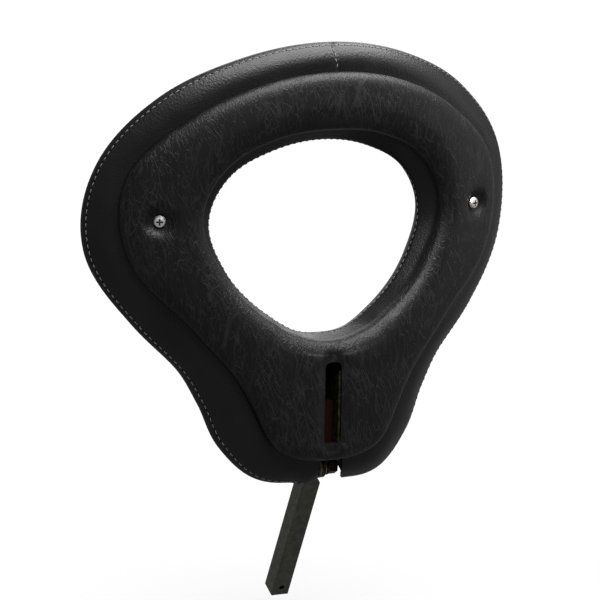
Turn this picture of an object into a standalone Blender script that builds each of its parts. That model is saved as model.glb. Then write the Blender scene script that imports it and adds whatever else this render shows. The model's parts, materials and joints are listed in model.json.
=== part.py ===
"""Face cradle cushion: a padded ring head rest on a square bar, with a friction tilt hinge.

Millimetres in the constants, metres in the model.  +Z runs from chin to forehead, -Y is the rear
of the cushion, +X is to the right when it is seen from the rear.  The world origin is the middle
of the bar's free end.  The cushion's own origin, used by every section below, is the centre that
its outlines are drawn round, on the rear surface.
"""
import math

import bmesh
import bpy
from mathutils import Matrix, Vector

MM = 0.001
GAP = 0.3                 # between pieces that touch
CUT_START = -10           # depths where a cutter that goes right through starts and ends
CUT_END = 90

# Outlines of the ring: half outlines as (degrees above the horizontal, radius).
REAR_OUTER = ((-90, 118), (-72, 115.5), (-58, 98), (-45, 89), (-30, 89.5), (-12, 101),
              (8, 132), (28, 149.5), (48, 144.5), (68, 140), (90, 138))
REAR_INNER = ((-90, 37), (-58, 39), (-45, 42), (-30, 46), (-12, 56),
              (8, 73.5), (28, 96), (48, 103.5), (68, 101.5), (90, 99))
FRONT_OUTER = ((-90, 134), (-72, 139.5), (-58, 129.5), (-45, 115.5), (-30, 112), (-12, 127.5),
               (8, 154), (28, 166), (48, 164), (68, 158.5), (90, 156.5))
HOLE = ((-90, 36), (-58, 38.5), (-45, 40), (-30, 43.5), (-12, 52),
        (8, 67), (28, 86), (48, 93.5), (68, 92.5), (90, 92))
CURVE_RADIUS = 280        # the ring is bent about a vertical axis, hollow towards the face
RING_STEPS = 48
WIDEST = 15               # angle where the ring is widest, degrees
LONGEST_CHORD = 26

# Layers, as depths behind the rear surface.
COVER_SKIN = 1.2
PANEL_TOP = 7.2           # thin panel under the rear cover
PANEL_BOTTOM = 10.2
BOARD_TOP = 10.6          # structural board
BOARD_BOTTOM = 19.6
BRACKET_TOP = 21.5
BRACKET_STEEL = 2.5

# Slot in the rear cover and the notch for the bar.
SLOT_HALF = 6
SLOT_TOP = -52
SLOT_BOTTOM = -107.5
BOARD_SLOT_BOTTOM = -80
LIP_HIGH = -58.5          # the steel lip that lines the right side of the slot
LIP_LOW = -106
LIP_REAR = 3
LIP_LEFT = 4.3
LIP_STEEL = 1.5
LIP_RIGHT = LIP_LEFT + LIP_STEEL
NOTCH_HALF = 19           # leaves room for the ends of the pivot bolt
NOTCH_TOP = -110
NOTCH_LOW = -150
BOXING_NOTCH_LEFT = -2    # on this side the boxing covers the hinge
POCKET_HALF = 28          # pocket in the foam for the hinge
POCKET_TOP = -56
POCKET_REAR = 5
POCKET_FRONT = 38

# Tilt hinge and bar.
PIVOT_Y = 33
PIVOT_Z = -129.5
REST_TILT = 28            # degrees between the bar and the cushion's down direction
BAR_SIZE = 12.7
BAR_EDGE = 0.8
BAR_REACH = 110           # pivot to free end
BAR_TOP_GAP = 9.4         # pivot to the shoulder of the bar
TONGUE_HALF = 3
TONGUE_TAIL = 6           # how far the tongue runs into the bar
TONGUE_RADIUS = 6.2
CROSS_HOLE_RADIUS = 2
CROSS_HOLE_UP = 6.5
BOLT_RADIUS = 3
BOLT_CLEARANCE = 3.3
CHEEK_IN = 5.1
CHEEK_FRONT = 28.5
LOBE_RADIUS = 7.5
FLANGE_OUT = 26
FLANGE_HIGH = -61
FLANGE_LOW = -103
PIVOT_HOLE_REACH = 20
HEX_ACROSS = 10           # bolt head and nut
HEAD_HEIGHT = 4
NUT_HEIGHT = 6
SHANK_END = 18.3
WASHER_RADIUS = 6
WASHER_THICK = 1.2
FRICTION_RADIUS = 7.6
SPRING_RADIUS = 6.2
SPRING_THICK = 0.8
SPRING_CONE = 0.6
SPRING_ROOM = 2           # along the bolt, between the cheek and the nut's washer

# Bracket screws and their tee nuts.
BRACKET_SCREW_X = 17.5
BRACKET_SCREW_Z = (-70, -93)
BRACKET_SCREW = (4.6, 2.8, 2.4, 10.5)    # head radius and height, shank radius and length
BRACKET_SCREW_CLEARANCE = 2.9
TEE_BORE = 2.7
TEE_BARREL = 3.6
TEE_PLATE = 8.6
TEE_PLATE_THICK = 1.1
TEE_LENGTH = 8.6
TEE_PROUD = 1.6           # the plate's rear face, behind the board
TEE_BARREL_HOLE = TEE_BARREL + GAP
TEE_PLATE_HOLE = TEE_PLATE + 0.8

# Screws that hold the rear cover.
COVER_SCREW_X = 115
COVER_SCREW_Z = 43.5
COVER_SCREW_HEAD = 4.15
COVER_SCREW_SHANK = 1.9
COVER_SCREW = (COVER_SCREW_HEAD, 2.8, COVER_SCREW_SHANK, 13.5)
COVER_SCREW_SINK = 3.8    # the head's underside, below the rear surface
COVER_SCREW_ROOM = 0.7

REST = math.radians(REST_TILT)
CUSHION_Y = -BAR_REACH * math.sin(REST) - PIVOT_Y
CUSHION_Z = BAR_REACH * math.cos(REST) - PIVOT_Z


def clear_scene():
    for obj in list(bpy.data.objects):
        bpy.data.objects.remove(obj, do_unlink=True)


def make_collection(name):
    collection = bpy.data.collections.new(name)
    bpy.context.scene.collection.children.link(collection)
    return collection


clear_scene()
PARTS = make_collection("face_cradle_cushion")
CUTTERS = make_collection("cutters")


# ---------------------------------------------------------------- materials

def material(name, colour, roughness, metallic):
    mat = bpy.data.materials.new(name)
    mat.use_nodes = True
    shader = mat.node_tree.nodes["Principled BSDF"]
    shader.inputs["Base Color"].default_value = (*colour, 1)
    shader.inputs["Roughness"].default_value = roughness
    shader.inputs["Metallic"].default_value = metallic
    mat.diffuse_color = (*colour, 1)
    return mat


LEATHERETTE = material("leatherette", (0.012, 0.012, 0.013), 0.42, 0)
VINYL = material("grained_vinyl", (0.018, 0.018, 0.019), 0.5, 0)
FOAM = material("foam", (0.75, 0.72, 0.55), 0.95, 0)
PLYWOOD = material("plywood", (0.23, 0.11, 0.06), 0.7, 0)
BAR_STEEL = material("bar_steel", (0.05, 0.055, 0.05), 0.4, 0.8)
ZINC = material("yellow_zinc", (0.42, 0.36, 0.16), 0.35, 1)
BRIGHT_STEEL = material("bright_steel", (0.72, 0.72, 0.7), 0.2, 1)
SPRING_STEEL = material("spring_steel", (0.3, 0.3, 0.3), 0.35, 1)
FIBRE = material("friction_fibre", (0.12, 0.08, 0.05), 0.85, 0)


# ---------------------------------------------------------------- objects

def add_object(name, bm, mat, collection=PARTS):
    bmesh.ops.recalc_face_normals(bm, faces=bm.faces)
    mesh = bpy.data.meshes.new(name)
    bm.to_mesh(mesh)
    bm.free()
    obj = bpy.data.objects.new(name, mesh)
    collection.objects.link(obj)
    if mat:
        mesh.materials.append(mat)
        mesh.shade_smooth()
        mesh.set_sharp_from_angle(angle=math.radians(35))
    return obj


def add_cutter(name, bm):
    obj = add_object(name, bm, None, CUTTERS)
    obj.hide_render = True
    obj.display_type = "WIRE"
    return obj


def boolean(obj, other, operation="DIFFERENCE"):
    mod = obj.modifiers.new(other.name, "BOOLEAN")
    mod.operation = operation
    mod.solver = "EXACT"
    mod.object = other


def box_bmesh(x, y, z):
    """A box between (low, high) pairs in cushion millimetres."""
    bm = bmesh.new()
    size = [(pair[1] - pair[0]) * MM for pair in (x, y, z)]
    middle = [(pair[1] + pair[0]) / 2 * MM for pair in (x, y, z)]
    place = Matrix.Translation(middle) @ Matrix.Diagonal((*size, 1))
    bmesh.ops.create_cube(bm, size=1, matrix=place)
    return bm


def cylinder_bmesh(radius, start, end, segments=24, radius_end=None):
    """A closed cylinder or cone between two points in millimetres."""
    start = Vector(start) * MM
    end = Vector(end) * MM
    axis = end - start
    turn = axis.to_track_quat("Z", "Y").to_matrix().to_4x4()
    far = radius if radius_end is None else radius_end
    bm = bmesh.new()
    bmesh.ops.create_cone(bm, cap_ends=True, segments=segments, radius1=radius * MM,
                          radius2=far * MM, depth=axis.length,
                          matrix=Matrix.Translation((start + end) / 2) @ turn)
    return bm


def prism_bmesh(outline, x_low, x_high):
    """A flat outline of (y, z) points, extruded along X."""
    bm = bmesh.new()
    low = [bm.verts.new((x_low * MM, y * MM, z * MM)) for y, z in outline]
    face = bm.faces.new(low)
    moved = bmesh.ops.extrude_face_region(bm, geom=[face])["geom"]
    verts = [item for item in moved if isinstance(item, bmesh.types.BMVert)]
    bmesh.ops.translate(bm, verts=verts, vec=((x_high - x_low) * MM, 0, 0))
    return bm


def turned_bmesh(profile, segments, start, direction):
    """A solid of revolution from (radius, height) points, lowest first, closed on the axis."""
    bm = bmesh.new()
    turn = Vector(direction).to_track_quat("Z", "Y").to_matrix().to_4x4()
    place = Matrix.Translation(Vector(start) * MM) @ turn
    rings = []
    for radius, height in profile:
        if radius == 0:
            rings.append([bm.verts.new(place @ Vector((0, 0, height * MM)))])
            continue
        ring = []
        for step in range(segments):
            angle = 2 * math.pi * step / segments
            point = Vector((radius * math.cos(angle), radius * math.sin(angle), height)) * MM
            ring.append(bm.verts.new(place @ point))
        rings.append(ring)
    closed = profile[0][0] != 0
    pairs = list(zip(rings, rings[1:]))
    if closed:
        pairs.append((rings[-1], rings[0]))
    for low, high in pairs:
        for step in range(segments):
            after = (step + 1) % segments
            corners = [low[step % len(low)], low[after % len(low)],
                       high[after % len(high)], high[step % len(high)]]
            bm.faces.new(list(dict.fromkeys(corners)))
    return bm


# ---------------------------------------------------------------- the ring's outlines

def radius_at(outline, degrees):
    """Radius of a half outline at an angle, by a smooth curve through its points."""
    if degrees > 90:
        degrees = 180 - degrees
    if degrees < -90:
        degrees = -180 - degrees
    first, last = outline[0], outline[-1]
    before = (2 * first[0] - outline[1][0], outline[1][1])
    after = (2 * last[0] - outline[-2][0], outline[-2][1])
    points = (before, *outline, after)
    for index in range(1, len(points) - 2):
        left, right = points[index], points[index + 1]
        if degrees <= right[0]:
            break
    span = right[0] - left[0]
    slope_left = (right[1] - points[index - 1][1]) / (right[0] - points[index - 1][0])
    slope_right = (points[index + 2][1] - left[1]) / (points[index + 2][0] - left[0])
    t = (degrees - left[0]) / span
    return ((2 * t**3 - 3 * t**2 + 1) * left[1] + (t**3 - 2 * t**2 + t) * span * slope_left
            + (3 * t**2 - 2 * t**3) * right[1] + (t**3 - t**2) * span * slope_right)


def bend(x):
    """How far the bent surface lies in front of its middle line."""
    return CURVE_RADIUS - math.sqrt(CURVE_RADIUS**2 - x**2)


def ring_point(radius, degrees, depth):
    angle = math.radians(degrees)
    x = radius * math.cos(angle)
    return Vector((x, bend(x) + depth, radius * math.sin(angle))) * MM


def section_radius(outline, offset, degrees):
    """Radius of one outline, or of the mean of several, moved out by an offset."""
    if isinstance(outline[0][0], tuple):
        return sum(radius_at(part, degrees) for part in outline) / len(outline) + offset
    return radius_at(outline, degrees) + offset


def long_edge_counts(section):
    """Pieces for each edge of a section, so that wide faces follow the bend."""
    radii = [section_radius(outline, offset, WIDEST) for outline, offset, depth in section]
    return [1 + int(abs(after - here) / LONGEST_CHORD)
            for here, after in zip(radii, radii[1:] + radii[:1])]


def ring_bmesh(section, steps=RING_STEPS):
    """A closed ring: section is a loop of (outline or outlines to average, offset, depth)."""
    bm = bmesh.new()
    counts = long_edge_counts(section)
    grid = []
    for step in range(steps):
        degrees = -90 + 360 * step / steps
        radii = [section_radius(outline, offset, degrees) for outline, offset, depth in section]
        row = []
        for index, count in enumerate(counts):
            other = (index + 1) % len(section)
            for part in range(count):
                share = part / count
                radius = radii[index] * (1 - share) + radii[other] * share
                depth = section[index][2] * (1 - share) + section[other][2] * share
                row.append(bm.verts.new(ring_point(radius, degrees, depth)))
        grid.append(row)
    for step in range(steps):
        row, after = grid[step], grid[(step + 1) % steps]
        for index in range(len(row)):
            other = (index + 1) % len(row)
            bm.faces.new((row[index], row[other], after[other], after[index]))
    bmesh.ops.triangulate(bm, faces=bm.faces)
    return bm


MIDDLE = (FRONT_OUTER, HOLE)
REAR_MIDDLE = (REAR_OUTER, REAR_INNER)


# ---------------------------------------------------------------- soft layers

def make_rear_cover():
    section = ((REAR_OUTER, 0, 10.3), (REAR_OUTER, 0, 4), (REAR_OUTER, -2, 1.2), (REAR_OUTER, -7, 0),
               (REAR_INNER, 8, 0.5), (REAR_INNER, 3, 3), (REAR_INNER, 0.5, 7), (REAR_INNER, 0, 12),
               (REAR_INNER, COVER_SKIN, 12), (REAR_INNER, 1.8, 7.6), (REAR_INNER, 4, 4),
               (REAR_INNER, 8.3, 1.7), (REAR_OUTER, -7.2, COVER_SKIN), (REAR_OUTER, -2.8, 2.2),
               (REAR_OUTER, -COVER_SKIN, 4.4), (REAR_OUTER, -COVER_SKIN, 10.3))
    return add_object("rear_cover", ring_bmesh(section), VINYL)


def make_rear_panel_foam():
    section = ((REAR_OUTER, -1.6, 6.8), (REAR_OUTER, -1.6, 4.8), (REAR_OUTER, -3.3, 2.7),
               (REAR_OUTER, -7.5, 1.6), (REAR_INNER, 8.6, 2.1), (REAR_INNER, 4.4, 4.4),
               (REAR_INNER, 2.8, 6.8))
    return add_object("rear_panel_foam", ring_bmesh(section), FOAM)


def make_rear_panel_board():
    section = ((REAR_OUTER, -1.8, PANEL_TOP), (REAR_INNER, 2.8, PANEL_TOP),
               (REAR_INNER, 2.8, PANEL_BOTTOM), (REAR_OUTER, -1.8, PANEL_BOTTOM))
    return add_object("rear_panel_board", ring_bmesh(section), PLYWOOD)


def make_base_board():
    section = ((REAR_OUTER, -7, BOARD_TOP), (REAR_INNER, 5, BOARD_TOP),
               (REAR_INNER, 5, BOARD_BOTTOM), (REAR_OUTER, -7, BOARD_BOTTOM))
    return add_object("base_board", ring_bmesh(section), PLYWOOD)


def make_outer_boxing():
    section = ((REAR_OUTER, -4, 10.7), (REAR_OUTER, 1.5, 10.7), (FRONT_OUTER, 0, 18),
               (FRONT_OUTER, -1.4, 18), (REAR_OUTER, 1, 11.9), (REAR_OUTER, -4, 11.9))
    return add_object("outer_boxing", ring_bmesh(section), LEATHERETTE)


def make_inner_boxing():
    section = ((REAR_INNER, 1.6, 13), (HOLE, 0, 26.6), (HOLE, 1.3, 26.6), (REAR_INNER, 2.9, 13))
    return add_object("inner_boxing", ring_bmesh(section), LEATHERETTE)


def make_front_panel_cover():
    section = ((FRONT_OUTER, 0, 18.4), (FRONT_OUTER, -2.5, 24.5), (FRONT_OUTER, -8, 33),
               (FRONT_OUTER, -18, 42), (MIDDLE, 0, 50), (HOLE, 15, 46), (HOLE, 5, 39), (HOLE, 1, 32),
               (HOLE, 0, 27), (HOLE, 1.3, 27), (HOLE, 2.3, 31.6), (HOLE, 6, 38), (HOLE, 15.6, 44.8),
               (MIDDLE, 0, 48.7), (FRONT_OUTER, -18.8, 40.8), (FRONT_OUTER, -9.2, 32.2),
               (FRONT_OUTER, -3.8, 24.1), (FRONT_OUTER, -1.4, 18.4))
    return add_object("front_panel_cover", ring_bmesh(section), LEATHERETTE)


def make_foam_core():
    section = ((REAR_INNER, 3.4, 20), (REAR_OUTER, -4, 20), (REAR_OUTER, -2, 13),
               (FRONT_OUTER, -3.4, 18.6), (FRONT_OUTER, -4.3, 23.8), (FRONT_OUTER, -9.8, 31.8),
               (FRONT_OUTER, -19.2, 40.3), (MIDDLE, 0, 48.2), (HOLE, 16, 44.3), (HOLE, 6.6, 37.7),
               (HOLE, 2.8, 31.4), (HOLE, 1.9, 26.7))
    return add_object("foam_core", ring_bmesh(section), FOAM)


# ---------------------------------------------------------------- openings through the layers

def cut(obj, name, bm):
    boolean(obj, add_cutter(name, bm))


def cut_slot(obj, bottom):
    """The long slot up the neck, with room for the steel lip along its right side."""
    sides = (-SLOT_HALF, LIP_RIGHT + GAP)
    cut(obj, f"{obj.name}_slot", box_bmesh(sides, (CUT_START, BOARD_BOTTOM + 4), (bottom, SLOT_TOP)))


def surface_normal(x):
    """Unit vector out of the rear surface at x."""
    slope = x / math.sqrt(CURVE_RADIUS**2 - x**2)
    return Vector((slope, -1, 0)).normalized()


def cover_screw_seat(side):
    x = side * COVER_SCREW_X
    return Vector((x, bend(x), COVER_SCREW_Z)), surface_normal(x)


def cut_cover_screw(obj, side, radius, tag):
    seat, out = cover_screw_seat(side)
    hole = cylinder_bmesh(radius, seat - out * CUT_START, seat - out * (BOARD_BOTTOM + 2), 16)
    cut(obj, f"{obj.name}_{tag}", hole)


def cut_tee_holes(obj, radius):
    for side in (-1, 1):
        for row, z in enumerate(BRACKET_SCREW_Z):
            x = side * BRACKET_SCREW_X
            hole = cylinder_bmesh(radius, (x, CUT_START, z), (x, CUT_END, z), 18)
            cut(obj, f"{obj.name}_tee_hole_{side}_{row}", hole)


def make_soft_parts():
    rear_cover = make_rear_cover()
    rear_foam = make_rear_panel_foam()
    rear_board = make_rear_panel_board()
    board = make_base_board()
    boxing = make_outer_boxing()
    make_inner_boxing()
    front = make_front_panel_cover()
    foam = make_foam_core()
    for obj in (rear_cover, rear_foam, rear_board):
        cut_slot(obj, SLOT_BOTTOM)
    for side, tag in ((-1, "left"), (1, "right")):
        cut_cover_screw(rear_cover, side, COVER_SCREW_HEAD + COVER_SCREW_ROOM, tag)
        cut_cover_screw(rear_foam, side, COVER_SCREW_HEAD + COVER_SCREW_ROOM, tag)
        cut_cover_screw(rear_board, side, COVER_SCREW_SHANK + GAP, tag)
        cut_cover_screw(board, side, COVER_SCREW_SHANK + GAP, tag)
    cut_slot(board, BOARD_SLOT_BOTTOM)
    lip_sides = (LIP_LEFT - GAP, LIP_RIGHT + GAP + 0.01)
    lip_room = box_bmesh(lip_sides, (CUT_START, CUT_END), (LIP_LOW - GAP, SLOT_TOP - 0.5))
    cut(board, "board_lip_slot", lip_room)
    cut_tee_holes(board, TEE_BARREL_HOLE)
    cut_tee_holes(rear_board, TEE_PLATE_HOLE)
    cut_notch(boxing, front, foam)


def cut_notch(boxing, front, foam):
    """Room for the bar and the hinge at the chin end."""
    depths = (CUT_START, CUT_END)
    heights = (NOTCH_LOW, NOTCH_TOP)
    cut(boxing, "boxing_notch", box_bmesh((BOXING_NOTCH_LEFT, NOTCH_HALF), depths, heights))
    cut(front, "front_notch", box_bmesh((-NOTCH_HALF, NOTCH_HALF), depths, heights))
    front_of_cheeks = CHEEK_FRONT + 1.5
    above = NOTCH_TOP + 1.5
    pocket = ((POCKET_REAR, POCKET_TOP), (POCKET_REAR, NOTCH_LOW), (CUT_END, NOTCH_LOW), (CUT_END, above),
              (POCKET_FRONT, above), (front_of_cheeks, NOTCH_TOP + 10), (front_of_cheeks, POCKET_TOP))
    cut(foam, "foam_notch", prism_bmesh(pocket, -NOTCH_HALF - 1.5, NOTCH_HALF + 1.5))
    flanges = box_bmesh((-POCKET_HALF, POCKET_HALF), (POCKET_REAR, CHEEK_FRONT + 1),
                        (NOTCH_TOP - 5, POCKET_TOP - 0.5))
    cut(foam, "flange_pocket", flanges)


# ---------------------------------------------------------------- tilt hinge

def arc(centre, radius, start, end, steps):
    points = []
    for step in range(steps + 1):
        angle = math.radians(start + (end - start) * step / steps)
        points.append((centre[0] + radius * math.cos(angle), centre[1] + radius * math.sin(angle)))
    return points


def make_bracket(name, side):
    pivot = (PIVOT_Y, PIVOT_Z)
    outline = [(BRACKET_TOP, FLANGE_HIGH), (BRACKET_TOP, -110)]
    outline += arc(pivot, LOBE_RADIUS, 195, 385, 14)
    outline += [(CHEEK_FRONT, -104), (CHEEK_FRONT, FLANGE_HIGH)]
    cheek_out = CHEEK_IN + BRACKET_STEEL
    low, high = sorted((side * CHEEK_IN, side * cheek_out))
    obj = add_object(name, prism_bmesh(outline, low, high), ZINC)
    low, high = sorted((side * (CHEEK_IN + 0.01), side * FLANGE_OUT))
    flange = box_bmesh((low, high), (BRACKET_TOP, BRACKET_TOP + BRACKET_STEEL), (FLANGE_LOW, FLANGE_HIGH))
    boolean(obj, add_cutter(f"{name}_flange", flange), "UNION")
    ends = ((-PIVOT_HOLE_REACH, *pivot), (PIVOT_HOLE_REACH, *pivot))
    cut(obj, f"{name}_pivot_hole", cylinder_bmesh(BOLT_CLEARANCE, *ends, 24))
    for row, z in enumerate(BRACKET_SCREW_Z):
        x = side * BRACKET_SCREW_X
        hole = cylinder_bmesh(BRACKET_SCREW_CLEARANCE, (x, CUT_START, z), (x, CUT_END, z), 16)
        cut(obj, f"{name}_screw_hole_{row}", hole)
    return obj


def add_slot_lip(bracket):
    """The steel lip that lines the right side of the slot, one piece with the right bracket."""
    lip = box_bmesh((LIP_LEFT, LIP_RIGHT), (LIP_REAR, BRACKET_TOP + 1.6), (LIP_LOW, LIP_HIGH))
    boolean(bracket, add_cutter("slot_lip", lip), "UNION")
    web = box_bmesh((LIP_LEFT + 0.2, CHEEK_IN + 1.4), (BRACKET_TOP, BRACKET_TOP + 1.9),
                    (FLANGE_LOW + 0.5, FLANGE_HIGH - 0.5))
    boolean(bracket, add_cutter("slot_lip_web", web), "UNION")


def pan_head_profile(head, height, shank, length):
    """Domed head on a shank, from the shank's tip to the top of the head."""
    return ((0, -length), (shank, -length + shank * 0.6), (shank, 0), (head, 0), (head, height * 0.45),
            (head * 0.8, height * 0.85), (head * 0.4, height), (0, height))


def cross_cutter(seat, out, size, depth, top):
    """A cross-shaped punch for the recess in a screw head."""
    long, short = size / 2, size * 0.13
    outline = []
    for quarter in range(4):
        turn = Matrix.Rotation(math.radians(90 * quarter), 2)
        for corner in ((long, -short), (long, short), (short, short)):
            outline.append(tuple(turn @ Vector(corner)))
    bm = prism_bmesh(outline, top - depth, top + 2)
    turn = Vector(out).to_track_quat("X", "Z").to_matrix().to_4x4()
    bmesh.ops.transform(bm, matrix=Matrix.Translation(Vector(seat) * MM) @ turn, verts=bm.verts)
    return bm


def add_screw(name, seat, out, sizes, mat):
    head, height, shank, length = sizes
    profile = pan_head_profile(head, height, shank, length)
    obj = add_object(name, turned_bmesh(profile, 20, seat, out), mat)
    cut(obj, f"{name}_recess", cross_cutter(seat, out, head * 1.05, height * 0.6, height))
    return obj


def add_tee_nut(name, x, z):
    profile = ((TEE_BORE, 0), (TEE_PLATE, 0), (TEE_PLATE, TEE_PLATE_THICK), (TEE_BARREL, TEE_PLATE_THICK),
               (TEE_BARREL, TEE_LENGTH), (TEE_BORE, TEE_LENGTH))
    rear = (x, bend(x) + BOARD_TOP - TEE_PROUD, z)
    return add_object(name, turned_bmesh(profile, 20, rear, (0, 1, 0)), ZINC)


def make_bracket_fasteners():
    number = 1
    for side in (-1, 1):
        for z in BRACKET_SCREW_Z:
            x = side * BRACKET_SCREW_X
            seat = (x, BRACKET_TOP + BRACKET_STEEL + GAP, z)
            add_screw(f"bracket_screw_{number}", seat, (0, 1, 0), BRACKET_SCREW, SPRING_STEEL)
            add_tee_nut(f"tee_nut_{number}", x, z)
            number += 1


def hexagon_bmesh(x_low, x_high):
    outline = arc((PIVOT_Y, PIVOT_Z), HEX_ACROSS / math.sqrt(3), 30, 330, 5)
    return prism_bmesh(outline, x_low, x_high)


def ring_on_pivot(name, outer, x_low, x_high, mat, cone=0):
    """A washer on the bolt; a cone moves its rim along the bolt."""
    profile = ((BOLT_CLEARANCE, x_low), (outer, x_low - cone), (outer, x_high - cone),
               (BOLT_CLEARANCE, x_high))
    bm = turned_bmesh(profile, 24, (0, PIVOT_Y, PIVOT_Z), (1, 0, 0))
    return add_object(name, bm, mat)


def make_pivot():
    """From the left: bolt head, washer, cheek, friction washer, tongue, and the same to the nut."""
    cheek_out = CHEEK_IN + BRACKET_STEEL
    washer_in = cheek_out + GAP
    head_in = washer_in + WASHER_THICK + GAP
    bolt = add_object("pivot_bolt", hexagon_bmesh(-head_in - HEAD_HEIGHT, -head_in), ZINC)
    shank = cylinder_bmesh(BOLT_RADIUS, (-head_in - 0.5, PIVOT_Y, PIVOT_Z), (SHANK_END, PIVOT_Y, PIVOT_Z), 24)
    boolean(bolt, add_cutter("bolt_shank", shank), "UNION")
    ring_on_pivot("bolt_washer", WASHER_RADIUS, -washer_in - WASHER_THICK, -washer_in, ZINC)
    for side, tag in ((-1, "left"), (1, "right")):
        low, high = sorted((side * (TONGUE_HALF + GAP), side * (CHEEK_IN - GAP)))
        ring_on_pivot(f"friction_washer_{tag}", FRICTION_RADIUS, low, high, FIBRE)
    spring_in = cheek_out + GAP + SPRING_CONE
    ring_on_pivot("disc_spring", SPRING_RADIUS, spring_in, spring_in + SPRING_THICK, SPRING_STEEL,
                  SPRING_CONE)
    nut_washer_in = cheek_out + SPRING_ROOM
    ring_on_pivot("nut_washer", WASHER_RADIUS, nut_washer_in, nut_washer_in + WASHER_THICK, ZINC)
    nut_in = nut_washer_in + WASHER_THICK + GAP
    nut = add_object("pivot_nut", hexagon_bmesh(nut_in, nut_in + NUT_HEIGHT), ZINC)
    hole = cylinder_bmesh(BOLT_CLEARANCE, (0, PIVOT_Y, PIVOT_Z), (nut_in + 8, PIVOT_Y, PIVOT_Z), 24)
    cut(nut, "nut_hole", hole)


# ---------------------------------------------------------------- support bar

def bar_place():
    """From bar coordinates, with +Z up the bar and the origin on the pivot, to the cushion."""
    return Matrix.Translation(Vector((0, PIVOT_Y, PIVOT_Z)) * MM) @ Matrix.Rotation(REST, 4, "X")


def make_support_bar():
    half = BAR_SIZE / 2
    bm = box_bmesh((-half, half), (-half, half), (-BAR_REACH, -BAR_TOP_GAP))
    edges = [edge for edge in bm.edges if abs(edge.verts[0].co.z - edge.verts[1].co.z) > 0.01]
    bmesh.ops.bevel(bm, geom=edges, offset=BAR_EDGE * MM, segments=3, profile=0.5, affect="EDGES")
    bmesh.ops.transform(bm, matrix=bar_place(), verts=bm.verts)
    bar = add_object("support_bar", bm, BAR_STEEL)
    tail = -BAR_TOP_GAP - TONGUE_TAIL
    outline = [(-TONGUE_RADIUS, tail), (TONGUE_RADIUS, tail)]
    outline += arc((0, 0), TONGUE_RADIUS, 0, 180, 12)
    tongue = prism_bmesh(outline, -TONGUE_HALF, TONGUE_HALF)
    bmesh.ops.transform(tongue, matrix=bar_place(), verts=tongue.verts)
    boolean(bar, add_cutter("tongue", tongue), "UNION")
    pivot = (PIVOT_Y, PIVOT_Z)
    cut(bar, "tongue_hole", cylinder_bmesh(BOLT_CLEARANCE, (-BAR_SIZE, *pivot), (BAR_SIZE, *pivot), 24))
    up = -BAR_REACH + CROSS_HOLE_UP
    hole = cylinder_bmesh(CROSS_HOLE_RADIUS, (0, -BAR_SIZE, up), (0, BAR_SIZE, up), 16)
    bmesh.ops.transform(hole, matrix=bar_place(), verts=hole.verts)
    cut(bar, "cross_hole", hole)


# ---------------------------------------------------------------- assembly

def make_cover_screws():
    for side, tag in ((-1, "left"), (1, "right")):
        seat, out = cover_screw_seat(side)
        head_base = seat - out * COVER_SCREW_SINK
        add_screw(f"rear_cover_screw_{tag}", head_base, out, COVER_SCREW, BRIGHT_STEEL)


def hang_on_empties():
    """The cushion's pieces hang on an empty on the hinge axis, the bar on one at its free end."""
    pivot = bpy.data.objects.new("tilt_axis", None)
    PARTS.objects.link(pivot)
    place = Matrix.Translation(Vector((0, CUSHION_Y, CUSHION_Z)) * MM)
    pivot.matrix_world = place @ Matrix.Translation(Vector((0, PIVOT_Y, PIVOT_Z)) * MM)
    back = Matrix.Translation(Vector((0, -PIVOT_Y, -PIVOT_Z)) * MM)
    for obj in [*PARTS.objects, *CUTTERS.objects]:
        if obj.type == "MESH":
            obj.parent = pivot
            obj.matrix_local = back


make_soft_parts()
make_bracket("hinge_bracket_left", -1)
add_slot_lip(make_bracket("hinge_bracket_right", 1))
make_bracket_fasteners()
make_pivot()
make_support_bar()
make_cover_screws()
hang_on_empties()
bpy.context.view_layer.update()
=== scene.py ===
"""Looks of a face cradle cushion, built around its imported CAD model.

The soft pieces are lofted round the same outlines as the CAD parts, inflated with a cloth
simulation where they are padded, then seamed and stitched.  Lengths named below are in
millimetres in the cushion's own coordinates: its origin is the centre that the outlines are drawn
round, x runs to the right seen from the rear, z to the forehead, and depth goes from the rear
surface towards the face.
"""
import json
import math

import bmesh
import bpy
import numpy as np
from mathutils import Matrix, Vector

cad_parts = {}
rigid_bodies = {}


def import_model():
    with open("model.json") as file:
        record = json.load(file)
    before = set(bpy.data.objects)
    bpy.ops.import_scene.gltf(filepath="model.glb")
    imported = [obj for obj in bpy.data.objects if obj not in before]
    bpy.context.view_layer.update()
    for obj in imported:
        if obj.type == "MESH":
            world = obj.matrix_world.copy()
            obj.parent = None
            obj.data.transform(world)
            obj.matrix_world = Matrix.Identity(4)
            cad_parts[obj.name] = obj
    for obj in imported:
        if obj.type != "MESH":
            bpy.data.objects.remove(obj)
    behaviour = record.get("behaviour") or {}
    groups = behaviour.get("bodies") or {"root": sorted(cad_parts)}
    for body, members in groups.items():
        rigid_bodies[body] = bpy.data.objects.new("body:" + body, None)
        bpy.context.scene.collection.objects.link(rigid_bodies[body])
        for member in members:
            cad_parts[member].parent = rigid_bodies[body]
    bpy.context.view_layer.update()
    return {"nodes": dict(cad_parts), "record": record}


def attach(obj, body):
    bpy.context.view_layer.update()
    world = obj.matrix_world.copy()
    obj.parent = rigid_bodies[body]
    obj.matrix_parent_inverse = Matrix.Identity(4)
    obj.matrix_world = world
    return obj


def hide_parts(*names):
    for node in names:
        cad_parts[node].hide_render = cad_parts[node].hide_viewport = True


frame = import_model()

MM = 0.001

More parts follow.
